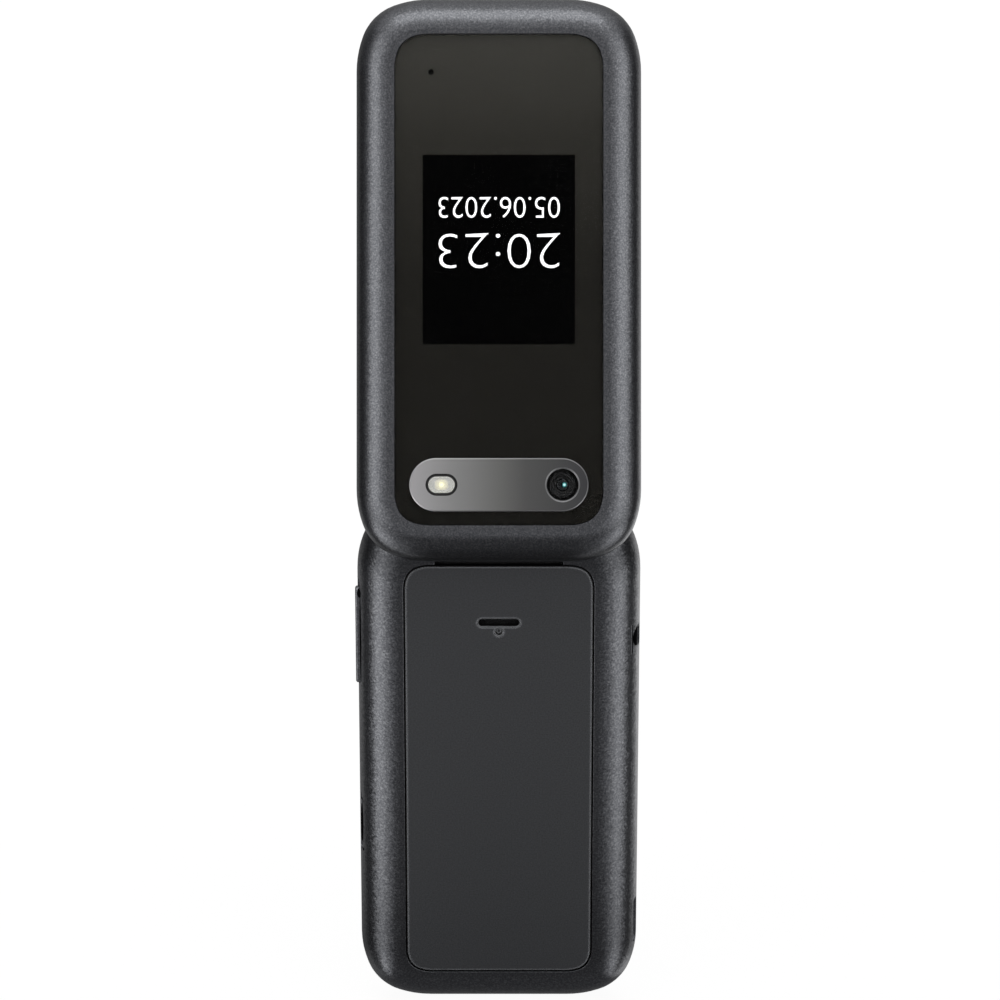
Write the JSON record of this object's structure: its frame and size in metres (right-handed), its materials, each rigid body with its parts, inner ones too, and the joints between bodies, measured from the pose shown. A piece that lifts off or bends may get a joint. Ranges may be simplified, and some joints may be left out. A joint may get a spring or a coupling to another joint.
{
  "type": "flip phone",
  "caption": "Clamshell mobile phone opened on its hinge, with an outer display, a pill-shaped camera plate, a keypad inside and a removable battery cover.",
  "frame": {"origin": "middle of the battery cover's outer face", "axes": "+Y out of the battery cover, away from the keypad; +Z along the base from its far end towards the hinge; +X towards the volume key"},
  "size_m": [0.0555, 0.0506, 0.1995],
  "materials": {
    "painted_shell": "satin metallic dark grey",
    "cover_shell": "fine matt texture",
    "inner_shell": "satin",
    "window_glass": "polished, dark backed",
    "screen": "polished",
    "camera_metal": "brushed, anodised",
    "lens_glass": "coated",
    "flash_clear": "moulded",
    "led": "phosphor",
    "camera_black": "matt",
    "key_plastic": "satin",
    "silicone": "matt",
    "steel": "satin",
    "board": "solder mask",
    "battery_wrap": "satin label film",
    "black_plastic": "matt",
    "mesh": "fine woven",
    "gold": "plated",
    "flex": "polyimide",
    "pad_rubber": "soft"
  },
  "bodies": {
    "base": {"rear_housing": "painted_shell", "front_housing": "inner_shell", "keypad_membrane": "silicone", "dome_sheet": "steel", "main_board": "board", "rf_shield": "steel", "battery": "battery_wrap", "battery_contacts": "black_plastic", "sim_holder": "steel", "loudspeaker": "black_plastic", "audio_jack": "black_plastic", "usb_port": "steel", "vibration_motor": "steel", "microphone": "steel", "antenna": "gold", "housing_screws": "steel", "hinge_cam": "steel", "hinge_sleeve": "steel", "hinge_flex": "flex"},
    "lid": {"lid_outer_housing": "painted_shell", "lid_inner_housing": "inner_shell", "outer_window": "window_glass", "outer_display": "screen", "camera_plate": "camera_metal", "camera_lens": "lens_glass", "camera_module": "camera_black", "flash_lens": "flash_clear", "flash_led": "led", "lid_board": "board", "inner_window": "window_glass", "inner_display": "screen", "earpiece": "black_plastic", "earpiece_mesh": "mesh", "lid_bumpers": "pad_rubber", "lid_screws": "steel", "lid_magnet": "steel", "hinge_cartridge": "steel"},
    "cover": {"battery_cover": "cover_shell", "speaker_mesh": "mesh"},
    "volume_key": {"volume_key": "painted_shell"},
    "alert_key": {"alert_key": "painted_shell"},
    "nav_ring": {"nav_ring": "key_plastic"},
    "nav_centre": {"nav_centre": "key_plastic"},
    "vibration_weight": {"vibration_weight": "steel"},
    "key_1": {"key_1": "key_plastic"},
    "key_2": {"key_2": "key_plastic"},
    "key_3": {"key_3": "key_plastic"},
    "key_4": {"key_4": "key_plastic"},
    "key_5": {"key_5": "key_plastic"},
    "key_6": {"key_6": "key_plastic"},
    "key_7": {"key_7": "key_plastic"},
    "key_8": {"key_8": "key_plastic"},
    "key_9": {"key_9": "key_plastic"},
    "key_star": {"key_star": "key_plastic"},
    "key_0": {"key_0": "key_plastic"},
    "key_hash": {"key_hash": "key_plastic"},
    "soft_key_left": {"soft_key_left": "key_plastic"},
    "soft_key_right": {"soft_key_right": "key_plastic"},
    "call_key": {"call_key": "key_plastic"},
    "end_key": {"end_key": "key_plastic"}
  },
  "joints": [
    {"name": "lid_fold", "type": "hinge", "parent": "base", "child": "lid", "pos_m": [0, -0.00525, 0.0492], "axis": [1, 0, 0], "range_deg": [0, 155]},
    {"name": "cover_lift", "type": "slide", "parent": "base", "child": "cover", "axis": [0, 1, 0], "range_m": [0, 0.015]},
    {"name": "volume_rock", "type": "hinge", "parent": "base", "child": "volume_key", "pos_m": [0.0255, -0.00675, 0.02685], "axis": [0, 1, 0], "range_deg": [-1.2, 1.2], "stiffness_Nm_per_rad": 0.02},
    {"name": "alert_press", "type": "slide", "parent": "base", "child": "alert_key", "axis": [-1, 0, 0], "range_m": [0, 0.0003], "stiffness_N_per_m": 300},
    {"name": "nav_tilt", "type": "hinge", "parent": "base", "child": "nav_ring", "pos_m": [0, -0.00925, 0.02675], "axis": [1, 0, 0], "range_deg": [-1.2, 1.2], "stiffness_Nm_per_rad": 0.02},
    {"name": "nav_press", "type": "slide", "parent": "base", "child": "nav_centre", "axis": [0, 1, 0], "range_m": [0, 0.0003], "stiffness_N_per_m": 300},
    {"name": "vibration_spin", "type": "hinge", "parent": "base", "child": "vibration_weight", "pos_m": [0.0212, -0.005, 0.0032], "axis": [0, 0, 1], "continuous": true},
    {"name": "key_1_press", "type": "slide", "parent": "base", "child": "key_1", "axis": [0, 1, 0], "range_m": [0, 0.0003], "stiffness_N_per_m": 300},
    {"name": "key_2_press", "type": "slide", "parent": "base", "child": "key_2", "axis": [0, 1, 0], "range_m": [0, 0.0003], "stiffness_N_per_m": 300},
    {"name": "key_3_press", "type": "slide", "parent": "base", "child": "key_3", "axis": [0, 1, 0], "range_m": [0, 0.0003], "stiffness_N_per_m": 300},
    {"name": "key_4_press", "type": "slide", "parent": "base", "child": "key_4", "axis": [0, 1, 0], "range_m": [0, 0.0003], "stiffness_N_per_m": 300},
    {"name": "key_5_press", "type": "slide", "parent": "base", "child": "key_5", "axis": [0, 1, 0], "range_m": [0, 0.0003], "stiffness_N_per_m": 300},
    {"name": "key_6_press", "type": "slide", "parent": "base", "child": "key_6", "axis": [0, 1, 0], "range_m": [0, 0.0003], "stiffness_N_per_m": 300},
    {"name": "key_7_press", "type": "slide", "parent": "base", "child": "key_7", "axis": [0, 1, 0], "range_m": [0, 0.0003], "stiffness_N_per_m": 300},
    {"name": "key_8_press", "type": "slide", "parent": "base", "child": "key_8", "axis": [0, 1, 0], "range_m": [0, 0.0003], "stiffness_N_per_m": 300},
    {"name": "key_9_press", "type": "slide", "parent": "base", "child": "key_9", "axis": [0, 1, 0], "range_m": [0, 0.0003], "stiffness_N_per_m": 300},
    {"name": "key_star_press", "type": "slide", "parent": "base", "child": "key_star", "axis": [0, 1, 0], "range_m": [0, 0.0003], "stiffness_N_per_m": 300},
    {"name": "key_0_press", "type": "slide", "parent": "base", "child": "key_0", "axis": [0, 1, 0], "range_m": [0, 0.0003], "stiffness_N_per_m": 300},
    {"name": "key_hash_press", "type": "slide", "parent": "base", "child": "key_hash", "axis": [0, 1, 0], "range_m": [0, 0.0003], "stiffness_N_per_m": 300},
    {"name": "soft_key_left_press", "type": "slide", "parent": "base", "child": "soft_key_left", "axis": [0, 1, 0], "range_m": [0, 0.0003], "stiffness_N_per_m": 300},
    {"name": "soft_key_right_press", "type": "slide", "parent": "base", "child": "soft_key_right", "axis": [0, 1, 0], "range_m": [0, 0.0003], "stiffness_N_per_m": 300},
    {"name": "call_key_press", "type": "slide", "parent": "base", "child": "call_key", "axis": [0, 1, 0], "range_m": [0, 0.0003], "stiffness_N_per_m": 300},
    {"name": "end_key_press", "type": "slide", "parent": "base", "child": "end_key", "axis": [0, 1, 0], "range_m": [0, 0.0003], "stiffness_N_per_m": 300}
  ]
}
